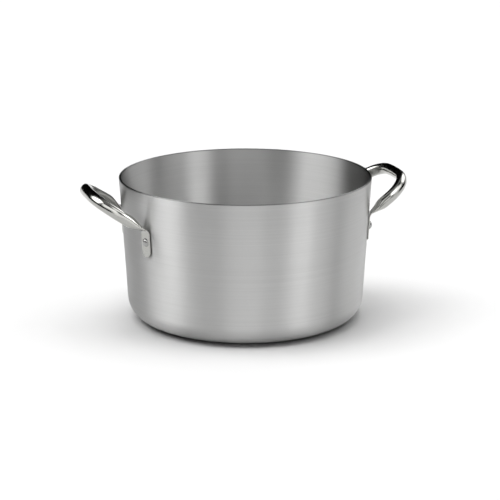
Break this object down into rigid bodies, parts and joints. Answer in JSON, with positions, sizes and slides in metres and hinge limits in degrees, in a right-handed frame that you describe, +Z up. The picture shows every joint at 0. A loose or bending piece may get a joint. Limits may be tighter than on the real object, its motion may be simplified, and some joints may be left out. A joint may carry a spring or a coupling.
{
  "type": "stock pot",
  "caption": "Open round cooking pot in satin aluminium, with a slightly tapered wall, a rounded foot and a riveted bent-tube handle on each side.",
  "frame": {"origin": "centre of the flat base, on the surface the pot stands on", "axes": "+Z up out of the mouth; +X through the middle of the right handle; -Y is the front, seen with one handle at each hand"},
  "size_m": [0.4276, 0.3258, 0.186],
  "materials": {
    "pot_body": "satin, turned: fine lines round the wall inside and out",
    "handle": "polished stainless steel tube",
    "rivet": "smooth, lightly polished heads"
  },
  "bodies": {
    "root": {"pot_body": "pot_body", "handle_left": "handle", "handle_right": "handle", "rivet_left_front": "rivet", "rivet_left_rear": "rivet", "rivet_right_front": "rivet", "rivet_right_rear": "rivet"}
  },
  "joints": []
}
